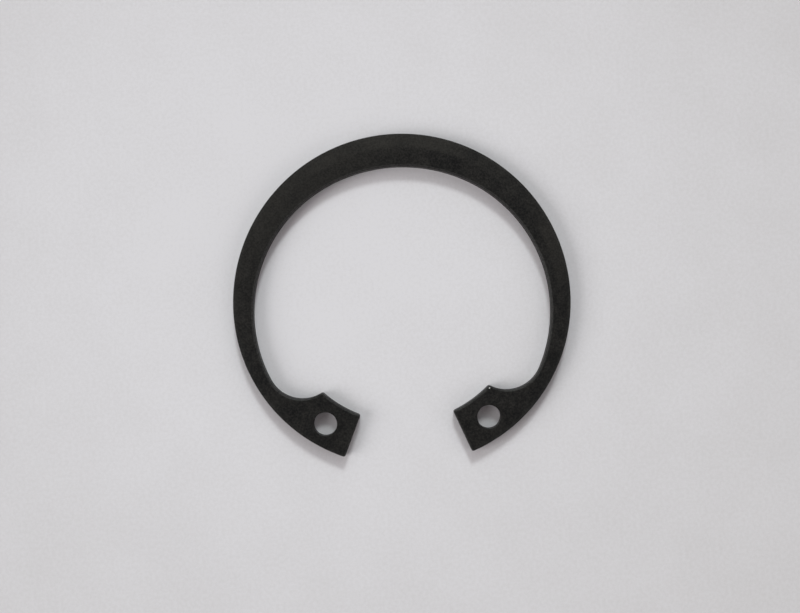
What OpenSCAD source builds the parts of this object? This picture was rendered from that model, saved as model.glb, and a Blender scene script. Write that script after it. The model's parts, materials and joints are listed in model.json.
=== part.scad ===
// Internal retaining ring (circlip) for a round bore, lying flat in its free state.
// One piece, stamped from spring steel strip. The outer rim springs into a groove in the bore.
// The inside is cut on larger and smaller arcs off the axis, so the section tapers from the back
// to the sides, and swells again into two lugs with holes for pliers.
// The ring's axis is Z, its underside is at z = 0 and its gap points to -Y.

/* [Ring] */
// Diameter over the outer rim in the free state
free_d = 34.4; // [32:0.1:37]
// Thickness of the strip
thickness = 1.2; // [1:0.05:1.75]
// Radial width of the section at the back, opposite the gap
back_w = 3.3; // [3:0.05:3.6]
// How far the centre of the inside's back arc sits from the ring's axis, towards the gap
back_offset = 1.9; // [1.6:0.05:2.2]
// How much smaller the radius of the inside's side arcs is than that of its back arc
side_step = 1.05; // [0.8:0.05:1.3]
// How much smaller the rim's radius is from the ring's widest points down to its ends
end_step = 0.65; // [0.3:0.05:1]

/* [Lugs] */
// Radial height of a lug, from the outer rim in to its inner edge
lug_h = 4.95; // [4.6:0.05:5.4]
// Angle of the gap between the two end faces, in degrees
gap_angle = 45.5; // [36:0.5:50]
// Angle from an end face to the lug's peak, in degrees
lug_angle = 21.3; // [18:0.1:23]
// Radius of the hollow between a lug's peak and the side arc
hollow_r = 3.65; // [3.3:0.05:4.2]

/* [Plier holes] */
// Diameter of the holes for the pliers' tips
hole_d = 2.4; // [2:0.1:2.7]
// Distance from the rim circle in to a hole's centre
hole_depth = 2.55; // [2.3:0.05:2.8]
// Distance from an end face to a hole's centre
hole_setback = 3.05; // [2.6:0.05:3.4]

/* [Edges] */
// Rounding on the side that the punch enters: the inside's upper edge and the rim's lower edge
roll_r = 0.18; // [0.1:0.01:0.22]
// Rounding on the upper edge of the plier holes
hole_roll_r = 0.08; // [0.04:0.01:0.12]
// Rounding that tumbling leaves on the side that the punch breaks out
burr_r = 0.05; // [0.03:0.01:0.08]

/* [Hidden] */
// Facets of a large circle and of an edge's rounding, where curves are drawn as facets
$fn = 180;
edge_fn = 24;
// Cuts pass through the faces by this much, and slabs reach past the ring
over = 1;
reach = 2 * free_d;

rim_r = free_d / 2;
end_rim_r = rim_r - end_step;
back_r = rim_r - back_w + back_offset;
back_c = [0, -back_offset];
side_r = back_r - side_step;
lug_r = rim_r - lug_h;
hole_r = hole_d / 2;
hole_dist = rim_r - hole_depth;

// Directions are measured from +X, for the half of the ring on the +X side
end_dir = -90 + gap_angle / 2;
peak_dir = end_dir + lug_angle;
hole_dir = end_dir + asin(hole_setback / hole_dist);

function polar(r, a) = r * [cos(a), sin(a)];

function direction(v) = atan2(v.y, v.x);

// The point that lies a from p and b from q, on the left of the way from p to q
function meeting(p, q, a, b) =
    let (d = norm(q - p), u = (q - p) / d, along = (a * a - b * b + d * d) / (2 * d))
    p + along * u + sqrt(a * a - along * along) * [-u.y, u.x];

// The side arc turns a quarter circle. It touches the back arc at one end and the hollow at the
// other, and the hollow passes through the lug's peak.
peak = polar(lug_r, peak_dir);
hollow_step = side_r - hollow_r;
hollow_c = meeting(back_c, peak, norm([hollow_step, side_step]), hollow_r);
blend_dir = direction(hollow_c - back_c) - direction([hollow_step, side_step]);
side_c = back_c + polar(side_step, blend_dir + 90);

// Half of the section of a disc whose rim is rounded by upper and lower radii
module disc_section(r, upper, lower) {
    square([r - max(upper, lower), thickness]);
    translate([0, lower]) square([r, thickness - lower - upper]);
    square([r - lower, thickness / 2]);
    translate([0, thickness / 2]) square([r - upper, thickness / 2]);
    translate([r - upper, thickness - upper]) circle(upper, $fn = edge_fn);
    translate([r - lower, lower]) circle(lower, $fn = edge_fn);
}

// Section of a cut that reaches r to the right and leaves rounded edges beside it
module cut_section(r, upper, lower) {
    translate([0, -over]) square([r, thickness + 2 * over]);
    difference() {
        translate([0, thickness - upper]) square([r + upper, upper + over]);
        translate([r + upper, thickness - upper]) circle(upper, $fn = edge_fn);
    }
    difference() {
        translate([0, -over]) square([r + lower, lower + over]);
        translate([r + lower, lower]) circle(lower, $fn = edge_fn);
    }
}

// Both start their turn at -X, away from the metal of the half that they shape
module rounded_disc(r) rotate([0, 0, 180]) rotate_extrude() disc_section(r, burr_r, roll_r);

module rounded_cut(r, upper) rotate([0, 0, 180]) rotate_extrude() cut_section(r, upper, burr_r);

// A slab through the strip, from a corner along X and Y
module quarter(from, size) translate([from.x, from.y, -over]) cube([size.x, size.y, thickness + 2 * over]);

// The outer form: the rim circle above the widest point, and the drawn-in rim below it
module half_blank() {
    intersection() {
        rounded_disc(rim_r);
        quarter([0, 0], [reach, reach]);
    }
    intersection() {
        translate([end_step, 0]) rounded_disc(end_rim_r);
        quarter([0, -reach], [reach, reach]);
    }
}

// The inner form, turned about the side arc's centre so that the side arc meets the hollow on
// its own X axis and the back arc on its own Y axis
module half_inside() translate(side_c) rotate([0, 0, blend_dir]) {
    intersection() {
        translate([0, -side_step]) rounded_cut(back_r, roll_r);
        quarter([-reach, 0], [reach, reach]);
    }
    intersection() {
        rounded_cut(side_r, roll_r);
        quarter([0, 0], [reach, reach]);
    }
    intersection() {
        translate([hollow_step, 0]) rounded_cut(hollow_r, roll_r);
        quarter([-reach, -reach], [2 * reach, reach]);
    }
}

// The straight cut along an end face, which clears the side of the gap
module end_cut() rotate([0, 0, end_dir + 90]) translate([-reach, reach, 0])
    rotate([90, 0, 0]) linear_extrude(2 * reach) cut_section(reach, roll_r, burr_r);

module half_ring() difference() {
    half_blank();
    half_inside();
    rounded_cut(lug_r, roll_r);
    end_cut();
    translate(polar(hole_dist, hole_dir)) rounded_cut(hole_r, hole_roll_r);
}

module retaining_ring() color([0.16, 0.155, 0.15]) {
    half_ring();
    mirror([1, 0, 0]) half_ring();
}

retaining_ring();
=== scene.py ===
"""Internal retaining ring (circlip) of blackened spring steel, lying flat on pale paper.

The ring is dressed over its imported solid, in the part's own frame: the ring's axis is Z, its
underside is at z = 0 and its gap points to -Y. Sizes are written in millimetres and angles in
degrees, and directions in plan are measured from +X. Blender takes metres, so the ring's mesh is
scaled once it is made, and the materials, the paper and the camera multiply by MM.
"""

import json
import logging
import math
from dataclasses import dataclass
from enum import Enum

import bmesh
import bpy
from mathutils import Matrix, Vector


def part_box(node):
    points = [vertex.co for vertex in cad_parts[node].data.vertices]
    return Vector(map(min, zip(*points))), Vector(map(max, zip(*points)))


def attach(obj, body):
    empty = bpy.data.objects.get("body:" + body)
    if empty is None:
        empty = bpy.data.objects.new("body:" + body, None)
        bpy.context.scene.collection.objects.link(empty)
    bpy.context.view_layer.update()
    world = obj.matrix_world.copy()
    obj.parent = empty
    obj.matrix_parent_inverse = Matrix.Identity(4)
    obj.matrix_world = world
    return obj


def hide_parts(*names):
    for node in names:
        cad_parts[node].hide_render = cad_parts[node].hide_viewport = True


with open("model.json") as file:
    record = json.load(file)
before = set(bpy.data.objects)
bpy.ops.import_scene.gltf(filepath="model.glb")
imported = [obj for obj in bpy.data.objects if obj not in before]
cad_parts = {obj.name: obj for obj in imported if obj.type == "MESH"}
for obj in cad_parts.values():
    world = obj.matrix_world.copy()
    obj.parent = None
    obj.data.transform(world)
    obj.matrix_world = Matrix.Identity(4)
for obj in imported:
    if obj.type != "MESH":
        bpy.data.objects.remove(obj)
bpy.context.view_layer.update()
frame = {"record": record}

LOG = logging.getLogger("retaining_ring")
MM = 0.001
NODE = "retaining_ring"

# Lengths under this, in millimetres, count as none
CLOSE = 1e-4
# A face whose normal points up or down by more than this, out of 1, is level
LEVEL = 0.9999
# Middle range of a noise, which its masks spread out to 0 to 1
NOISE_SPAN = (0.3, 0.7)

# A colour, a range or pair of values, and a place in plan
Colour = tuple[float, float, float, float]
Span = tuple[float, float]
Place = tuple[float, float]
# A node's output, and what a node's input can take: such an output, or a value of its own
Output = bpy.types.NodeSocket
Value = Output | float | Colour | Vector


class Side(Enum):
    """Half of the ring, by the sign of its X."""

    LEFT = -1
    RIGHT = 1


class Layer(Enum):
    """Values from 0 to 1 that the ring's points carry for its finish.

    The cut depth runs through the strip's thickness from the side that the punch entered. The
    wear is that of the edge that a point belongs to.
    """

    CUT_DEPTH = "cut_depth"
    WEAR = "edge_wear"


def polar(radius: float, degrees: float) -> Vector:
    """Return the plan point at a radius and a direction."""
    angle = math.radians(degrees)
    return Vector((radius * math.cos(angle), radius * math.sin(angle), 0.0))


def direction(v: Vector) -> float:
    """Return a plan vector's direction."""
    return math.degrees(math.atan2(v.y, v.x))


def meeting(p: Vector, q: Vector, a: float, b: float) -> Vector:
    """Find the point that lies a from p and b from q, left of the way from p to q.

    Args:
        p: First centre.
        q: Second centre.
        a: Distance from the first centre.
        b: Distance from the second centre.

    Returns:
        The point, in the plane of the two centres.
    """
    gap = q - p
    along = (a * a - b * b + gap.length_squared) / (2 * gap.length)
    u = gap.normalized()
    return p + along * u + math.sqrt(a * a - along * along) * Vector((-u.y, u.x, 0.0))


def level(face: bmesh.types.BMFace) -> bool:
    """Say whether a face is level, looking up or down."""
    return abs(face.normal.z) > LEVEL


def place_in_scene(name: str, bm: bmesh.types.BMesh) -> bpy.types.Object:
    """Turn a finished bmesh into an object of the scene, at the origin.

    Args:
        name: Name for the object and its mesh.
        bm: The bmesh, in metres, which is freed.

    Returns:
        The object.
    """
    mesh = bpy.data.meshes.new(name)
    bm.to_mesh(mesh)
    bm.free()
    made = bpy.data.objects.new(name, mesh)
    bpy.context.scene.collection.objects.link(made)
    return made


@dataclass(frozen=True)
class Arc:
    """A stretch of the outline, run at a constant radius about a centre."""

    centre: Vector
    radius: float
    start: float
    end: float

    def trace(self, bm: bmesh.types.BMesh, step: float) -> None:
        """Spin a vertex along the arc.

        Args:
            bm: The bmesh that gets the arc's vertices and edges.
            step: About how far apart the vertices lie.
        """
        turn = math.radians(self.end - self.start)
        steps = max(2, round(abs(turn) * self.radius / step))
        first = bm.verts.new(self.centre + polar(self.radius, self.start))
        bmesh.ops.spin(bm, geom=[first], cent=self.centre, axis=(0, 0, 1), dvec=(0, 0, 0),
                       angle=turn, steps=steps, use_merge=False, use_duplicate=False)


@dataclass
class RingPlan:
    """The ring seen from above, from the same driving sizes as the part's source."""

    # Radius of the outer rim in the free state
    rim_r: float
    # Radial width of the section at the back, opposite the gap
    back_w: float = 3.3
    # How far the centre of the inside's back arc sits from the ring's axis, towards the gap
    back_offset: float = 1.9
    # How much smaller the inside's side arcs are than its back arc, in radius
    side_step: float = 1.05
    # How much smaller the rim is from the ring's widest points down to its ends, in radius
    end_step: float = 0.65
    # Radial height of a lug, from the rim in to its inner edge
    lug_h: float = 4.95
    # Angle of the gap between the end faces, and from an end face to the lug's peak
    gap_angle: float = 45.5
    lug_angle: float = 21.3
    # Radius of the hollow between a lug's peak and the side arc
    hollow_r: float = 3.65

    def __post_init__(self) -> None:
        """Work out the centres and directions that the arcs share."""
        self.back_r = self.rim_r - self.back_w + self.back_offset
        self.back_c = Vector((0.0, -self.back_offset, 0.0))
        self.side_r = self.back_r - self.side_step
        self.lug_r = self.rim_r - self.lug_h
        self.end_dir = -90 + self.gap_angle / 2
        self.peak_dir = self.end_dir + self.lug_angle
        self.peak = polar(self.lug_r, self.peak_dir)
        centres = Vector((self.side_r - self.hollow_r, self.side_step, 0.0))
        self.hollow_c = meeting(self.back_c, self.peak, centres.length, self.hollow_r)
        self.blend_dir = direction(self.hollow_c - self.back_c) - direction(centres)
        self.side_c = self.back_c + polar(self.side_step, self.blend_dir + 90)
        self.end_rim_r = self.rim_r - self.end_step
        self.end_rim_c = Vector((self.end_step, 0.0, 0.0))
        ray = polar(1.0, self.end_dir)
        along = ray.dot(self.end_rim_c)
        reach = along + math.sqrt(along ** 2 - self.end_rim_c.length_squared + self.end_rim_r ** 2)
        self.outer_corner = reach * ray
        self.inner_corner = self.lug_r * ray

    def arcs(self) -> list[Arc]:
        """List the arcs of the half on the +X side.

        Returns:
            The arcs, from the rim at the back to the end face, and from there to the inside at
            the back.
        """
        turn = self.blend_dir + 90
        return [
            Arc(Vector(), self.rim_r, 90.0, 0.0),
            Arc(self.end_rim_c, self.end_rim_r, 0.0, direction(self.outer_corner - self.end_rim_c)),
            Arc(Vector(), self.lug_r, self.end_dir, self.peak_dir),
            Arc(self.hollow_c, self.hollow_r, direction(self.peak - self.hollow_c), self.blend_dir),
            Arc(self.side_c, self.side_r, self.blend_dir, turn),
            Arc(self.back_c, self.back_r, turn, 90.0),
        ]

    def corners(self) -> list[Vector]:
        """List the plan corners of the lug on the +X side."""
        return [self.outer_corner, self.inner_corner, self.peak]


class Socket(Enum):
    """Kinds of node group sockets."""

    VALUE = "NodeSocketFloat"
    VECTOR = "NodeSocketVector"


@dataclass
class Graph:
    """A node tree being wired, with short calls for its nodes and links."""

    tree: bpy.types.NodeTree

    def node(self, kind: str, **settings: object) -> bpy.types.Node:
        """Add a node.

        Args:
            kind: Blender's name for the type of node.
            settings: The node's own properties by name.

        Returns:
            The node.
        """
        made = self.tree.nodes.new(kind)
        for name, value in settings.items():
            setattr(made, name, value)
        return made

    def feed(self, target: bpy.types.NodeSocket, value: Value) -> None:
        """Link an output to an input, or set the input's own value.

        Args:
            target: The input.
            value: The output to link, or the value to set.
        """
        if isinstance(value, bpy.types.NodeSocket):
            self.tree.links.new(value, target)
        else:
            target.default_value = value

    def coordinates(self) -> Output:
        """Return Object coordinates."""
        return self.node("ShaderNodeTexCoord").outputs["Object"]

    def attribute(self, layer: Layer) -> Output:
        """Return a value that the mesh's points carry."""
        return self.node("ShaderNodeAttribute", attribute_name=layer.value).outputs["Fac"]

    def calc(self, operation: str, *values: Value, clamp: bool = False) -> Output:
        """Add a Math node.

        Args:
            operation: Blender's name for what it works out.
            values: What it takes, in the node's order.
            clamp: Whether the result is kept from 0 to 1.

        Returns:
            The result.
        """
        made = self.node("ShaderNodeMath", operation=operation, use_clamp=clamp)
        for target, value in zip(made.inputs, values):
            self.feed(target, value)
        return made.outputs[0]

    def measure(self, operation: str, vector: Output, fixed: Vector) -> Output:
        """Compare a vector with a fixed one.

        Args:
            operation: Blender's name for a vector operation that gives a number.
            vector: The vector.
            fixed: What it is compared with.

        Returns:
            The number.
        """
        made = self.node("ShaderNodeVectorMath", operation=operation)
        self.feed(made.inputs[0], vector)
        self.feed(made.inputs[1], fixed)
        return made.outputs["Value"]

    def split(self, vector: Output) -> bpy.types.NodeOutputs:
        """Take a vector apart.

        Args:
            vector: The vector.

        Returns:
            Its X, Y and Z by name.
        """
        made = self.node("ShaderNodeSeparateXYZ")
        self.feed(made.inputs[0], vector)
        return made.outputs

    def mix(self, factor: Value, a: Value, b: Value) -> Output:
        """Mix two colours.

        Args:
            factor: How much of the second colour there is, from 0 to 1.
            a: First colour.
            b: Second colour.

        Returns:
            The mixed colour.
        """
        made = self.node("ShaderNodeMix", data_type="RGBA")
        first, second = (s for s in made.inputs if s.type == "RGBA")
        self.feed(made.inputs["Factor"], factor)
        self.feed(first, a)
        self.feed(second, b)
        return next(s for s in made.outputs if s.type == "RGBA")

    def ramp(self, value: Output, span: Span, out: Span = (0.0, 1.0)) -> Output:
        """Map a range of a value smoothly to another range, and keep it there.

        Args:
            value: The value.
            span: Where the range starts and ends.
            out: What it turns into there.

        Returns:
            The mapped value.
        """
        made = self.node("ShaderNodeMapRange", interpolation_type="SMOOTHSTEP")
        for target, setting in zip(made.inputs, (value, *span, *out)):
            self.feed(target, setting)
        return made.outputs[0]

    def noise(self, vector: Output, scale: Value, detail: float, rough: float) -> Output:
        """Add a noise.

        Args:
            vector: Where it is read.
            scale: How many of its swells there are to a metre.
            detail: How many finer layers it has.
            rough: How strong each layer is beside the one before.

        Returns:
            The noise, about one half.
        """
        made = self.node("ShaderNodeTexNoise")
        self.feed(made.inputs["Vector"], vector)
        self.feed(made.inputs["Scale"], scale)
        made.inputs["Detail"].default_value = detail
        made.inputs["Roughness"].default_value = rough
        return made.outputs["Fac"]

    def moved(self, vector: Output, shift: tuple[float, float, float] = (0.0, 0.0, 0.0),
              scale: tuple[float, float, float] = (1.0, 1.0, 1.0)) -> Output:
        """Scale a vector, then shift it, so that a noise is read elsewhere.

        Args:
            vector: The vector.
            shift: What is added along each axis.
            scale: What each axis is multiplied by.

        Returns:
            The new vector.
        """
        made = self.node("ShaderNodeMapping")
        self.feed(made.inputs["Vector"], vector)
        made.inputs["Location"].default_value = shift
        made.inputs["Scale"].default_value = scale
        return made.outputs["Vector"]

    def bump(self, height: Output, unit: float, strength: float, under: Output | None = None) -> Output:
        """Tilt the normal as a relief would.

        Args:
            height: Height of the relief.
            unit: How many metres a height of 1 stands for.
            strength: Share of the tilt that shows.
            under: Normal of a coarser relief that this one lies on.

        Returns:
            The tilted normal.
        """
        made = self.node("ShaderNodeBump")
        self.feed(made.inputs["Height"], height)
        made.inputs["Distance"].default_value = unit
        made.inputs["Strength"].default_value = strength
        if under is not None:
            self.feed(made.inputs["Normal"], under)
        return made.outputs["Normal"]

    def group(self, tree: bpy.types.NodeTree, values: dict[str, Value]) -> bpy.types.NodeOutputs:
        """Place a node group.

        Args:
            tree: The group.
            values: What each input takes, by name.

        Returns:
            The group's outputs by name.
        """
        made = self.node("ShaderNodeGroup", node_tree=tree)
        for name, value in values.items():
            self.feed(made.inputs[name], value)
        return made.outputs


def node_group(name: str, inputs: dict[str, Socket], outputs: dict[str, Socket]) -> bpy.types.NodeTree:
    """Start a shader node group with named sockets.

    Args:
        name: The group's name.
        inputs: Kind of each input by name.
        outputs: Kind of each output by name.

    Returns:
        The group, holding its input and output nodes.
    """
    tree = bpy.data.node_groups.new(name, "ShaderNodeTree")
    for in_out, sockets in (("INPUT", inputs), ("OUTPUT", outputs)):
        for label, kind in sockets.items():
            tree.interface.new_socket(name=label, in_out=in_out, socket_type=kind.value)
    tree.nodes.new("NodeGroupInput")
    tree.nodes.new("NodeGroupOutput")
    return tree


def mottle_group() -> bpy.types.NodeTree:
    """Build a surface's cloudy unevenness, and its fine grain, as masks about one half.

    Returns:
        The group, which takes the sizes of the clouds and of the grain in metres.
    """
    tree = node_group("cloudy_mottle",
                      {"Vector": Socket.VECTOR, "Size": Socket.VALUE, "Grain Size": Socket.VALUE},
                      {"Clouds": Socket.VALUE, "Grain": Socket.VALUE})
    g = Graph(tree)
    ins, outs = tree.nodes["Group Input"].outputs, tree.nodes["Group Output"].inputs
    clouds = g.noise(ins["Vector"], g.calc("DIVIDE", 1.0, ins["Size"]), detail=4.0, rough=0.6)
    grain = g.noise(ins["Vector"], g.calc("DIVIDE", 1.0, ins["Grain Size"]), detail=3.0, rough=0.7)
    g.feed(outs["Clouds"], g.ramp(clouds, NOISE_SPAN))
    g.feed(outs["Grain"], g.ramp(grain, NOISE_SPAN))
    return tree


def rim_group(plan: RingPlan) -> bpy.types.NodeTree:
    """Build the distance from the ring's rim in towards its axis, in millimetres.

    Args:
        plan: The ring's plan, for the radius of its rim and how far that draws in to the ends.

    Returns:
        The group.
    """
    tree = node_group("distance_from_rim", {"Vector": Socket.VECTOR}, {"Distance": Socket.VALUE})
    g = Graph(tree)
    place = g.split(tree.nodes["Group Input"].outputs["Vector"])
    drawn_in = g.calc("LESS_THAN", place["Y"], 0.0)
    shift = g.calc("MULTIPLY", drawn_in, plan.end_step * MM)
    across = g.calc("SUBTRACT", g.calc("ABSOLUTE", place["X"]), shift)
    square = g.calc("ADD", g.calc("POWER", across, 2.0), g.calc("POWER", place["Y"], 2.0))
    radius = g.calc("ADD", g.calc("SQRT", square), shift)
    distance = g.calc("MULTIPLY", g.calc("SUBTRACT", plan.rim_r * MM, radius), 1.0 / MM)
    g.feed(tree.nodes["Group Output"].inputs["Distance"], distance)
    return tree


@dataclass(frozen=True)
class Zones:
    """What the steel's layers of finish read at a point, as outputs of its material's nodes.

    The place is in metres and the distance from the rim in millimetres. The others are masks:
    clouds and grain lie about one half, wall is 1 on the upright walls, edge on the roundings
    beside them, and broken on the rough part of a wall.
    """

    place: Output
    distance: Output
    clouds: Output
    grain: Output
    wall: Output
    edge: Output
    broken: Output


@dataclass(frozen=True)
class BlackenedSteel:
    """Spring steel under a dull, thin black oxide, with a trace of oil.

    The strip's outer part, its shoulder, leans outwards a little, as blanking leaves it, and a
    painted sheen, growing towards the window lamp and coming in patches, lightens it. The rounded
    edges are rubbed thinner, and a painted highlight runs along the rim.
    streaked, and the break beyond it is matt and grainy.
    """

    plan: RingPlan
    name: str = "blackened_spring_steel"

    # The oxide at its darkest and lightest, its specks, a paler stretch of it, the painted sheen on
    # the shoulder, which the walls' streaks share, the colour of worn edges and of the painted highlight
    # along the rim, and the rough break
    dark: Colour = (0.0026, 0.0029, 0.0034, 1.0)
    light: Colour = (0.0217, 0.0205, 0.0188, 1.0)
    black: Colour = (0.0, 0.0, 0.0, 1.0)
    paler: Colour = (0.0195, 0.0185, 0.0168, 1.0)
    shoulder: Colour = (0.0259, 0.0242, 0.0216, 1.0)
    edge_wear_and_rim_highlight: Colour = (0.036, 0.035, 0.034, 1.0)
    broken: Colour = (0.022, 0.021, 0.020, 1.0)
    # Bare steel, for the spot at the right lug's peak
    bright: Colour = (0.75, 0.74, 0.72, 1.0)

    # Roughness, how much the grain varies it, and what the break adds
    roughness: float = 0.42
    grain_rough: float = 0.1
    break_rough: float = 0.25
    gloss: float = 0.1

    # Clouds and grain, the grain's share in the tone, and the strength of its dark specks
    mottle_size: float = 1.6
    grain_size: float = 0.18
    grain_share: float = 0.6
    speckle: float = 0.42

    # The shoulder's width, how far its border fades towards the rim and towards the axis, its
    # slope, and how softly that starts
    shoulder_w: float = 1.45
    shoulder_fade: Span = (0.3, 0.15)
    shoulder_lean: float = 0.09
    lean_blend: float = 0.5
    # The shoulder's painted sheen grows across the ring towards the window lamp and comes in patches:
    # the direction and range of its growth, its least share, what the patches add, and their size,
    # place and contrast
    sheen_towards: float = 75.0
    sheen_span: Span = (-2.0, 14.0)
    sheen_least: float = 0.20
    sheen_patchy: float = 0.65
    patch_size: float = 4.5
    patch_shift: Place = (11.0, 5.0)
    patch_span: Span = (0.40, 0.62)

    # The paler stretch grows across the ring too, towards the back left, and shows more where the tone
    # is light
    paler_towards: float = 130.0
    paler_span: Span = (7.0, 16.5)
    paler_least: float = 0.5
    paler_toned: float = 0.6

    # Width of the painted highlight along the rim, its strength, and the least of it that clouds leave
    rim_highlight_w: float = 0.4
    rim_highlight: float = 0.6
    rim_highlight_least: float = 0.4

    # How far a surface leans from level, out of 1, where an edge starts and is full, and a wall
    edge_steep: Span = (0.0005, 0.03)
    wall_steep: Span = (0.80, 0.97)
    # Share of an edge's wear that shows, by its grain
    wear_span: Span = (0.35, 0.9)

    # Cut depth where the shear turns to break, how wide the change is, and how ragged
    break_start: float = 0.5
    break_blend: float = 0.06
    break_ragged: float = 0.12
    # Width of the streaks on the walls, its share of their length, and their strength
    streak_size: float = 0.09
    streak_slim: float = 0.06
    streak_share: float = 0.5

    # Depth of the pits between the grains, their strength, and how much deeper the break's are
    pit_depth: float = 0.010
    pit_strength: float = 0.6
    break_pits: float = 3.0

    # The bare spot at the right lug's peak, and the shares of its radius between which it fades
    spot: tuple[float, float, float] = (8.53, -9.10, 1.18)
    spot_r: float = 0.06
    spot_fade: Span = (0.6, 1.5)

    def rise(self, g: Graph, place: Output, towards: float, span: Span) -> Output:
        """Return a mask that grows across the ring.

        Args:
            g: The material's graph.
            place: Object coordinates.
            towards: Direction of growth.
            span: Where the mask starts and ends, from the ring's axis.

        Returns:
            A mask from 0 to 1.
        """
        along = g.measure("DOT_PRODUCT", place, polar(1.0, towards))
        return g.ramp(along, (span[0] * MM, span[1] * MM))

    def streaks(self, g: Graph, place: Output) -> Output:
        """Return fine lines that run up the walls.

        Args:
            g: The material's graph.
            place: Object coordinates.

        Returns:
            A mask about one half.
        """
        drawn = g.moved(place, scale=(1.0, 1.0, self.streak_slim))
        noise = g.noise(drawn, 1.0 / (self.streak_size * MM), detail=2.0, rough=0.6)
        return g.ramp(noise, NOISE_SPAN)

    def patches(self, g: Graph, place: Output) -> Output:
        """Return the patches where the shoulder's painted sheen is stronger than elsewhere.

        Args:
            g: The material's graph.
            place: Object coordinates.

        Returns:
            A mask from 0 to 1.
        """
        x, y = self.patch_shift
        moved = g.moved(place, shift=(x * MM, y * MM, 0.0))
        noise = g.noise(moved, 1.0 / (self.patch_size * MM), detail=2.0, rough=0.5)
        return g.ramp(noise, self.patch_span)

    def bare_spot(self, g: Graph, place: Output) -> Output:
        """Return the small spot of bare steel at the right lug's peak.

        Args:
            g: The material's graph.
            place: Object coordinates.

        Returns:
            A mask from 0 to 1.
        """
        away = g.measure("DISTANCE", place, Vector(self.spot) * MM)
        near, far = (share * self.spot_r * MM for share in self.spot_fade)
        return g.ramp(away, (near, far), (1.0, 0.0))

    def zones(self, g: Graph, mottle: bpy.types.NodeTree) -> Zones:
        """Tell the faces, edges and walls apart.

        Args:
            g: The material's graph.
            mottle: The shared group for cloudy unevenness and grain.

        Returns:
            What the layers of the finish read.
        """
        place = g.coordinates()
        uneven = g.group(mottle, {"Vector": place, "Size": self.mottle_size * MM,
                                  "Grain Size": self.grain_size * MM})
        normal = g.split(g.node("ShaderNodeNewGeometry").outputs["Normal"])
        steep = g.calc("SUBTRACT", 1.0, g.calc("ABSOLUTE", normal["Z"]))
        wall = g.ramp(steep, self.wall_steep)
        edge = g.calc("MULTIPLY", g.ramp(steep, self.edge_steep), g.calc("SUBTRACT", 1.0, wall))
        swing = g.calc("SUBTRACT", uneven["Clouds"], 0.5)
        ragged = g.calc("MULTIPLY_ADD", swing, self.break_ragged, g.attribute(Layer.CUT_DEPTH))
        beyond = g.ramp(ragged, (self.break_start, self.break_start + self.break_blend))
        distance = g.group(rim_group(self.plan), {"Vector": place})["Distance"]
        return Zones(place=place, distance=distance, clouds=uneven["Clouds"], grain=uneven["Grain"],
                     wall=wall, edge=edge, broken=g.calc("MULTIPLY", wall, beyond))

    def shoulder_sheen(self, g: Graph, at: Zones) -> Output:
        """Return the strength of the shoulder's painted sheen.

        Args:
            g: The material's graph.
            at: What the layers of the finish read.

        Returns:
            A mask from 0 to 1.
        """
        to_rim, to_axis = self.shoulder_fade
        border = (self.shoulder_w - to_rim, self.shoulder_w + to_axis)
        shoulder = g.ramp(at.distance, border, (1.0, 0.0))
        # Painted sheen: the shoulder, growing towards the window lamp, in patches
        growth = self.rise(g, at.place, self.sheen_towards, self.sheen_span)
        patchy = g.calc("MULTIPLY_ADD", self.patches(g, at.place), self.sheen_patchy, self.sheen_least)
        return g.calc("MULTIPLY", g.calc("MULTIPLY", shoulder, growth), patchy)

    def face_colour(self, g: Graph, at: Zones) -> Output:
        """Colour the flat faces: clouds and grain, a paler stretch, the shoulder's painted sheen, the
        painted highlight along the rim, and dark specks.

        Args:
            g: The material's graph.
            at: What the layers of the finish read.

        Returns:
            The colour.
        """
        clouded = g.calc("MULTIPLY", at.clouds, 1.0 - self.grain_share)
        tone = g.calc("MULTIPLY_ADD", at.grain, self.grain_share, clouded)
        colour = g.mix(tone, self.dark, self.light)
        # Paler towards the back left
        paling = self.rise(g, at.place, self.paler_towards, self.paler_span)
        toned = g.calc("MULTIPLY_ADD", tone, self.paler_toned, self.paler_least)
        colour = g.mix(g.calc("MULTIPLY", paling, toned), colour, self.paler)
        # Painted sheen on the shoulder
        colour = g.mix(self.shoulder_sheen(g, at), colour, self.shoulder)
        # Painted highlight along the rim, uneven with the clouds
        line = g.ramp(at.distance, (0.0, self.rim_highlight_w), (self.rim_highlight, 0.0))
        uneven = g.calc("MULTIPLY_ADD", at.clouds, 1.0 - self.rim_highlight_least, self.rim_highlight_least)
        colour = g.mix(g.calc("MULTIPLY", line, uneven), colour, self.edge_wear_and_rim_highlight)
        specks = g.calc("MULTIPLY", g.calc("SUBTRACT", 1.0, at.grain), self.speckle)
        return g.mix(specks, colour, self.black)

    def wall_colour(self, g: Graph, at: Zones, colour: Output) -> Output:
        """Colour the walls and edges: streaks, the break, and worn roundings.

        Args:
            g: The material's graph.
            at: What the layers of the finish read.
            colour: The colour of the flat faces.

        Returns:
            The colour of the whole surface, but for the bare spot.
        """
        streaks = g.calc("MULTIPLY", self.streaks(g, at.place), self.streak_share)
        colour = g.mix(g.calc("MULTIPLY", at.wall, streaks), colour, self.shoulder)
        colour = g.mix(at.broken, colour, self.broken)
        wear = g.calc("MULTIPLY", at.edge, g.attribute(Layer.WEAR))
        edge_wear_and_rim_highlight = g.calc("MULTIPLY", wear, g.ramp(at.grain, (0.0, 1.0), self.wear_span))
        return g.mix(edge_wear_and_rim_highlight, colour, self.edge_wear_and_rim_highlight)

    def relief(self, g: Graph, at: Zones) -> Output:
        """Lean the shoulder outwards and pit the grain.

        Args:
            g: The material's graph.
            at: What the layers of the finish read.

        Returns:
            The normal.
        """
        dip = g.calc("SMOOTH_MIN", at.distance, self.shoulder_w, self.lean_blend)
        lean = g.bump(g.calc("MULTIPLY", dip, self.shoulder_lean), unit=MM, strength=1.0)
        deeper = g.calc("MULTIPLY_ADD", at.broken, self.break_pits, 1.0)
        pits = g.calc("MULTIPLY", at.grain, deeper)
        return g.bump(pits, unit=self.pit_depth * MM, strength=self.pit_strength, under=lean)

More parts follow.
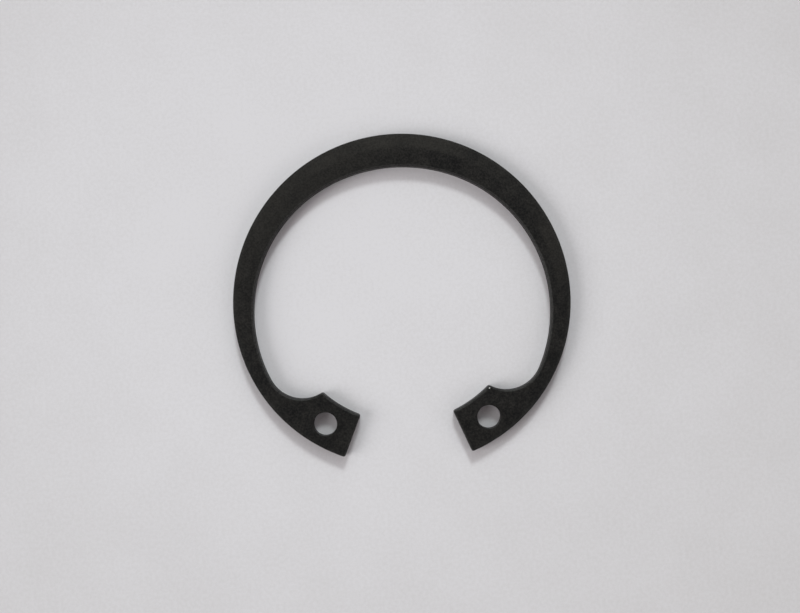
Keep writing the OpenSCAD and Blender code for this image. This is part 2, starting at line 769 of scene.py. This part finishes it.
    def material(self, mottle: bpy.types.NodeTree) -> bpy.types.Material:
        """Build the material.

        Args:
            mottle: The shared group for cloudy unevenness and grain.

        Returns:
            The material, ready to assign.
        """
        made = bpy.data.materials.new(self.name)
        made.use_nodes = True
        g = Graph(made.node_tree)
        shader = g.tree.nodes["Principled BSDF"].inputs
        at = self.zones(g, mottle)
        bare = self.bare_spot(g, at.place)
        colour = self.wall_colour(g, at, self.face_colour(g, at))
        g.feed(shader["Base Color"], g.mix(bare, colour, self.bright))
        g.feed(shader["Metallic"], bare)
        least = self.roughness - self.grain_rough / 2
        rough = g.calc("MULTIPLY_ADD", at.grain, self.grain_rough, least)
        g.feed(shader["Roughness"], g.calc("MULTIPLY_ADD", at.broken, self.break_rough, rough))
        g.feed(shader["Specular IOR Level"], self.gloss)
        g.feed(shader["Normal"], self.relief(g, at))
        return made


@dataclass(frozen=True)
class PalePaper:
    """The pale, faintly violet sheet that the ring lies on, with painted fall-off of light: a little
    dimmer away from its middle.
    """

    name: str = "pale_paper"
    # The sheet's colour, and its colour where the painted fall-off of light has dimmed it fully
    colour: Colour = (0.684, 0.673, 0.696, 1.0)
    dim: Colour = (0.565, 0.549, 0.557, 1.0)
    roughness: float = 0.9
    gloss: float = 0.0
    # Centre of the painted pool of light, where the sheet is brightest, and how far from there it has
    # dimmed
    middle: Place = (-12.0, 8.0)
    fade: float = 90.0
    # Clouds and grain, and how much each varies the dimming
    mottle_size: float = 9.0
    grain_size: float = 0.35
    cloud_share: float = 0.14
    grain_share: float = 0.30

    def material(self, mottle: bpy.types.NodeTree) -> bpy.types.Material:
        """Build the material.

        Args:
            mottle: The shared group for cloudy unevenness and grain.

        Returns:
            The material, ready to assign.
        """
        made = bpy.data.materials.new(self.name)
        made.use_nodes = True
        g = Graph(made.node_tree)
        shader = g.tree.nodes["Principled BSDF"].inputs
        place = g.coordinates()
        uneven = g.group(mottle, {"Vector": place, "Size": self.mottle_size * MM,
                                  "Grain Size": self.grain_size * MM})
        # Painted fall-off of light away from the middle, made uneven by the paper's clouds and grain
        away = g.measure("DISTANCE", place, Vector((*self.middle, 0.0)) * MM)
        far = g.ramp(away, (0.0, self.fade * MM))
        marks = g.calc("ADD", g.calc("MULTIPLY", uneven["Clouds"], self.cloud_share),
                       g.calc("MULTIPLY", uneven["Grain"], self.grain_share))
        half_way = (self.cloud_share + self.grain_share) / 2
        dimmed = g.calc("ADD", far, g.calc("SUBTRACT", marks, half_way), clamp=True)
        g.feed(shader["Base Color"], g.mix(dimmed, self.colour, self.dim))
        g.feed(shader["Roughness"], self.roughness)
        g.feed(shader["Specular IOR Level"], self.gloss)
        return made


@dataclass
class RetainingRing:
    """The whole ring as a stamped, tumbled and blackened piece.

    The punch drew in the inside's upper edge, and the rim's lower edge. The other edges are those
    that it broke out of, which tumbling has rounded a little.
    """

    plan: RingPlan
    thickness: float
    hole_r: float
    hole_centres: dict[Side, Vector]
    name: str = "ring_piece"

    # Roundings of the edges that the punch drew in, of the holes' upper edges, and of the edges
    # that it broke out of, with the segments of each
    roll_r: float = 0.18
    roll_segments: int = 6
    hole_roll_r: float = 0.08
    hole_roll_segments: int = 4
    burr_r: float = 0.05
    burr_segments: int = 3
    # How far the roll of the inside's upper edge runs in over the face
    roll_w: float = 0.25
    # Rounding of the lugs' corners seen from above, and how far from them the wide roll is whole
    corner_r: float = 0.2
    corner_segments: int = 6
    corner_reach: float = 0.6
    # Depth from the punch's side at which the break has taken over from the shear
    break_depth: float = 0.7
    # Width of the flat strip that frames each face, and how far past a rounding a wall's line lies
    strip_w: float = 0.02

    # Distance between the outline's points, points round a hole, and how far out from its circle
    # a point may lie and still belong to the hole
    step: float = 0.28
    hole_segments: int = 64
    hole_reach: float = 0.3
    # How squarely a wall has to face outwards to count as the rim, and the wear of the end faces
    rim_facing: float = 0.3
    end_wear: float = 0.4

    def outline(self, bm: bmesh.types.BMesh) -> None:
        """Trace the closed outline as edges at z = 0, with the lugs' corners rounded.

        Args:
            bm: The bmesh that gets the outline.
        """
        for arc in self.plan.arcs():
            arc.trace(bm, self.step)
        outer = bm.verts.new(self.plan.outer_corner)
        inner = bm.verts.new(self.plan.inner_corner)
        bm.edges.new((outer, inner))
        bmesh.ops.remove_doubles(bm, verts=bm.verts[:], dist=CLOSE)
        corners = self.plan.corners()
        tips = [v for v in bm.verts if any((v.co - c).length < CLOSE for c in corners)]
        bmesh.ops.bevel(bm, geom=tips, offset=self.corner_r, offset_type="OFFSET",
                        segments=self.corner_segments, profile=0.5, affect="VERTICES",
                        clamp_overlap=False, material=-1)
        bmesh.ops.mirror(bm, geom=bm.verts[:] + bm.edges[:], matrix=Matrix.Identity(4),
                         merge_dist=CLOSE, axis="X")
        bmesh.ops.remove_doubles(bm, verts=bm.verts[:], dist=CLOSE)

    def blank(self, bm: bmesh.types.BMesh) -> None:
        """Fill the outline round the plier holes and raise it to the strip's thickness.

        Args:
            bm: The bmesh that holds the outline.
        """
        for centre in self.hole_centres.values():
            bmesh.ops.create_circle(bm, cap_ends=False, segments=self.hole_segments,
                                    radius=self.hole_r, matrix=Matrix.Translation(centre))
        bmesh.ops.triangle_fill(bm, use_beauty=True, use_dissolve=False, edges=bm.edges[:],
                                normal=(0, 0, 1))
        made = bmesh.ops.extrude_face_region(bm, geom=bm.faces[:])
        raised = [g for g in made["geom"] if isinstance(g, bmesh.types.BMVert)]
        bmesh.ops.translate(bm, verts=raised, vec=(0, 0, self.thickness))
        bmesh.ops.recalc_face_normals(bm, faces=bm.faces[:])

    def beside_hole(self, v: bmesh.types.BMVert) -> bool:
        """Say whether a vertex belongs to a plier hole's edge or wall."""
        reach = self.hole_r + self.hole_reach
        return any((v.co.xy - c.xy).length < reach for c in self.hole_centres.values())

    def rim_edges(self, bm: bmesh.types.BMesh, z: float, at_hole: bool) -> list[bmesh.types.BMEdge]:
        """Find the sharp edges between a flat face and the walls.

        Args:
            bm: The bmesh that holds the blank.
            z: Height of the flat face.
            at_hole: Whether the edges are those of the holes, or those of the outline.

        Returns:
            The edges.
        """
        return [e for e in bm.edges
                if all(abs(v.co.z - z) < CLOSE and self.beside_hole(v) == at_hole for v in e.verts)
                and sum(level(f) for f in e.link_faces) == 1]

    def round_edges(self, bm: bmesh.types.BMesh) -> None:
        """Round the edges of both faces, along the outline and round the holes.

        Args:
            bm: The bmesh that holds the blank.
        """
        top = self.thickness
        for z, at_hole, radius, segments in (
                (top, False, self.roll_r, self.roll_segments),
                (0.0, False, self.roll_r, self.roll_segments),
                (top, True, self.hole_roll_r, self.hole_roll_segments),
                (0.0, True, self.burr_r, self.burr_segments)):
            bmesh.ops.bevel(bm, geom=self.rim_edges(bm, z, at_hole), offset=radius,
                            offset_type="OFFSET", segments=segments, profile=0.5,
                            affect="EDGES", clamp_overlap=False, material=-1)

    def outward(self, v: bmesh.types.BMVert) -> float:
        """Return how squarely a vertex faces away from the ring's axis.

        Args:
            v: The vertex, with its normal up to date.

        Returns:
            1 if it faces straight outwards, -1 if straight inwards, and 0 on a flat face.
        """
        if v.normal.xy.length < CLOSE:
            return 0.0
        return v.normal.xy.normalized().dot(v.co.xy.normalized())

    def corner_fade(self, v: bmesh.types.BMVert) -> float:
        """Return 0 at a plan corner of the lugs, rising to 1 where its reach ends."""
        near = min((Vector((abs(v.co.x), v.co.y)) - c.xy).length for c in self.plan.corners())
        return min(1.0, near / self.corner_reach)

    def shape_edges(self, bm: bmesh.types.BMesh) -> None:
        """Give each edge of the outline its own rounding.

        Where the punch broke out, the rounding shrinks to the small radius. Where it drew the
        inside's upper edge in, the rounding runs further in over the face than it is deep.

        Args:
            bm: The bmesh, with all its outline rounded by the roll's radius.
        """
        bm.normal_update()
        for v in bm.verts:
            lift = min(v.co.z, self.thickness - v.co.z)
            if lift > self.roll_r - CLOSE or self.beside_hole(v):
                continue
            upper = v.co.z > self.thickness / 2
            facing = Vector((v.normal.x, v.normal.y, 0.0)).normalized()
            outward = self.outward(v)
            broken = max(0.0, outward) if upper else 1.0 - max(0.0, outward)
            keep = 1.0 + (self.burr_r / self.roll_r - 1.0) * broken
            drawn = max(0.0, -outward) * self.corner_fade(v) if upper else 0.0
            stretch = keep + (self.roll_w / self.roll_r - 1.0) * drawn
            inset = self.roll_r - math.sqrt(max(0.0, self.roll_r ** 2 - (self.roll_r - lift) ** 2))
            v.co += facing * inset * (1.0 - stretch)
            v.co.z = self.thickness - lift * keep if upper else lift * keep

    def hold_faces(self, bm: bmesh.types.BMesh) -> None:
        """Frame both flat faces with a narrow flat strip, so that they shade flat.

        Args:
            bm: The bmesh, with its edges in their last shape.
        """
        flats = [f for f in bm.faces if level(f) and f.calc_area() > 0]
        bmesh.ops.inset_region(bm, faces=flats, thickness=self.strip_w, depth=0.0,
                               use_even_offset=True, use_boundary=True)

    def cut_wall(self, bm: bmesh.types.BMesh) -> None:
        """Run lines round the wall: beside each rounding, and where the break has taken over.

        Args:
            bm: The bmesh, with its edges in their last shape.
        """
        beside_roll = self.roll_r + self.strip_w
        for z in (beside_roll, self.thickness - self.break_depth, self.break_depth,
                  self.thickness - beside_roll):
            bmesh.ops.bisect_plane(bm, geom=bm.verts[:] + bm.edges[:] + bm.faces[:], dist=CLOSE,
                                   plane_co=(0, 0, z), plane_no=(0, 0, 1))

    def mark(self, bm: bmesh.types.BMesh) -> None:
        """Store each point's cut depth and wear for the finish.

        Args:
            bm: The finished bmesh, still in millimetres.
        """
        depth = bm.verts.layers.float.new(Layer.CUT_DEPTH.value)
        wear = bm.verts.layers.float.new(Layer.WEAR.value)
        bm.normal_update()
        for v in bm.verts:
            beside = self.beside_hole(v)
            outward = self.outward(v)
            height = v.co.z / self.thickness
            v[depth] = height if outward > self.rim_facing and not beside else 1.0 - height
            v[wear] = 0.0 if beside else self.end_wear + (1.0 - self.end_wear) * abs(outward)

    def build(self) -> bpy.types.Object:
        """Model the ring and put it in the scene.

        Returns:
            The ring's object, at the origin.
        """
        bm = bmesh.new()
        self.outline(bm)
        self.blank(bm)
        self.round_edges(bm)
        self.shape_edges(bm)
        self.hold_faces(bm)
        self.cut_wall(bm)
        bmesh.ops.recalc_face_normals(bm, faces=bm.faces[:])
        self.mark(bm)
        bmesh.ops.scale(bm, vec=(MM, MM, MM), verts=bm.verts[:])
        for face in bm.faces:
            face.smooth = True
        return place_in_scene(self.name, bm)

    def dress(self, piece: bpy.types.Object, mottle: bpy.types.NodeTree) -> None:
        """Give the ring its finish and its place in the part.

        Args:
            piece: The ring's object.
            mottle: The shared group for cloudy unevenness and grain.
        """
        piece.data.materials.append(BlackenedSteel(self.plan).material(mottle))
        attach(piece, "root")
        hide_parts(NODE)


@dataclass(frozen=True)
class Lamp:
    """A distant soft lamp.

    Azimuth is the direction towards it in plan, elevation its height above the paper, spread the
    angle that it covers, and strength the light on a surface that faces it.
    """

    name: str
    azimuth: float
    elevation: float
    spread: float
    strength: float
    colour: tuple[float, float, float]

    def hang(self) -> None:
        """Put the lamp in the scene."""
        data = bpy.data.lights.new(self.name, "SUN")
        data.energy = self.strength
        data.angle = math.radians(self.spread)
        data.color = self.colour
        made = bpy.data.objects.new(self.name, data)
        towards = polar(math.cos(math.radians(self.elevation)), self.azimuth)
        towards.z = math.sin(math.radians(self.elevation))
        made.rotation_euler = towards.to_track_quat("Z", "Y").to_euler()
        bpy.context.scene.collection.objects.link(made)


@dataclass(frozen=True)
class Studio:
    """Paper, lamps and camera."""

    # The camera's height over the paper, the point under it, and its turn
    height: float = 114.2
    target: Place = (-0.209, -0.401)
    roll: float = -2.56
    # Pixels of the picture to a millimetre of paper, pixels across the picture, the width of the
    # camera's sensor, and the nearest and farthest that it sees
    scale: float = 9.718
    frame_w: float = 800.0
    sensor_w: float = 36.0
    clip: Span = (1.0, 10000.0)
    # Half the paper's width, and its height, just under the ring
    floor_half: float = 1500.0
    floor_z: float = -0.01
    # The room's light on the ring, and what camera and reflections see of it
    room: Colour = (0.168, 0.140, 0.141, 1.0)
    backdrop: Colour = (0.566, 0.554, 0.557, 1.0)
    lamps: tuple[Lamp, ...] = (
        Lamp("window", 84.0, 38.0, 12.0, 1.444, (0.938, 1.0, 1.0)),
        Lamp("wall_round_window", 90.0, 36.0, 60.0, 0.860, (0.92, 1.0, 0.97)),
        Lamp("left_wall", 192.0, 30.0, 40.0, 1.828, (1.0, 1.0, 0.99)),
        Lamp("right_wall", 0.0, 24.0, 50.0, 0.525, (1.0, 1.0, 1.0)),
        Lamp("near_wall", 300.0, 24.0, 50.0, 0.440, (0.975, 1.0, 1.0)),
    )

    def floor(self, mottle: bpy.types.NodeTree) -> bpy.types.Object:
        """Lay the paper under the ring.

        Args:
            mottle: The shared group for cloudy unevenness and grain.

        Returns:
            The paper's object, marked as stage.
        """
        bm = bmesh.new()
        bmesh.ops.create_grid(bm, x_segments=1, y_segments=1, size=self.floor_half * MM,
                              matrix=Matrix.Translation((0, 0, self.floor_z * MM)))
        made = place_in_scene("paper", bm)
        made.data.materials.append(PalePaper().material(mottle))
        return made

    def light(self) -> None:
        """Hang the lamps, in a dim room that the camera and reflections see as the paper's tone."""
        for lamp in self.lamps:
            lamp.hang()
        made = bpy.data.worlds.new("room")
        made.use_nodes = True
        g = Graph(made.node_tree)
        path = g.node("ShaderNodeLightPath").outputs
        seen = g.calc("MAXIMUM", path["Is Camera Ray"], path["Is Glossy Ray"])
        seen = g.calc("MAXIMUM", seen, path["Is Transmission Ray"])
        g.feed(g.tree.nodes["Background"].inputs["Color"], g.mix(seen, self.room, self.backdrop))
        bpy.context.scene.world = made

    def camera(self) -> None:
        """Hang the camera over the ring, looking straight down."""
        data = bpy.data.cameras.new("overhead")
        data.sensor_width = self.sensor_w
        data.lens = self.scale * self.height / self.frame_w * self.sensor_w
        data.clip_start, data.clip_end = (limit * MM for limit in self.clip)
        made = bpy.data.objects.new("overhead", data)
        made.location = Vector((*self.target, self.height)) * MM
        made.rotation_euler = (0.0, 0.0, math.radians(self.roll))
        bpy.context.scene.collection.objects.link(made)
        bpy.context.scene.camera = made


def read_ring(record: dict) -> RetainingRing:
    """Take the ring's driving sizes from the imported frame.

    Args:
        record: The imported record, whose mounts place the plier holes.

    Returns:
        The ring, not yet built.
    """
    low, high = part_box(NODE)
    mounts = {m["name"]: m for m in record["mounts"]}
    holes = {Side.LEFT: mounts["plier_hole_left"], Side.RIGHT: mounts["plier_hole_right"]}
    centres = {side: Vector((m["pos_m"][0], m["pos_m"][1], 0.0)) / MM for side, m in holes.items()}
    return RetainingRing(plan=RingPlan(rim_r=(high.x - low.x) / 2 / MM),
                         thickness=(high.z - low.z) / MM,
                         hole_r=holes[Side.RIGHT]["dims"]["r_mm"],
                         hole_centres=centres)


def report(piece: bpy.types.Object) -> None:
    """Log a finished piece and the size of its mesh."""
    LOG.info("%s: %d vertices, %d faces", piece.name, len(piece.data.vertices), len(piece.data.polygons))


def main() -> None:
    """Build the ring, dress it, and set up the studio."""
    logging.basicConfig(level=logging.INFO, format="%(message)s")
    mottle = mottle_group()
    ring = read_ring(frame["record"])
    piece = ring.build()
    ring.dress(piece, mottle)
    report(piece)
    studio = Studio()
    report(studio.floor(mottle))
    studio.light()
    studio.camera()
    bpy.context.scene.view_settings.view_transform = "Standard"


if __name__ == "__main__":
    main()
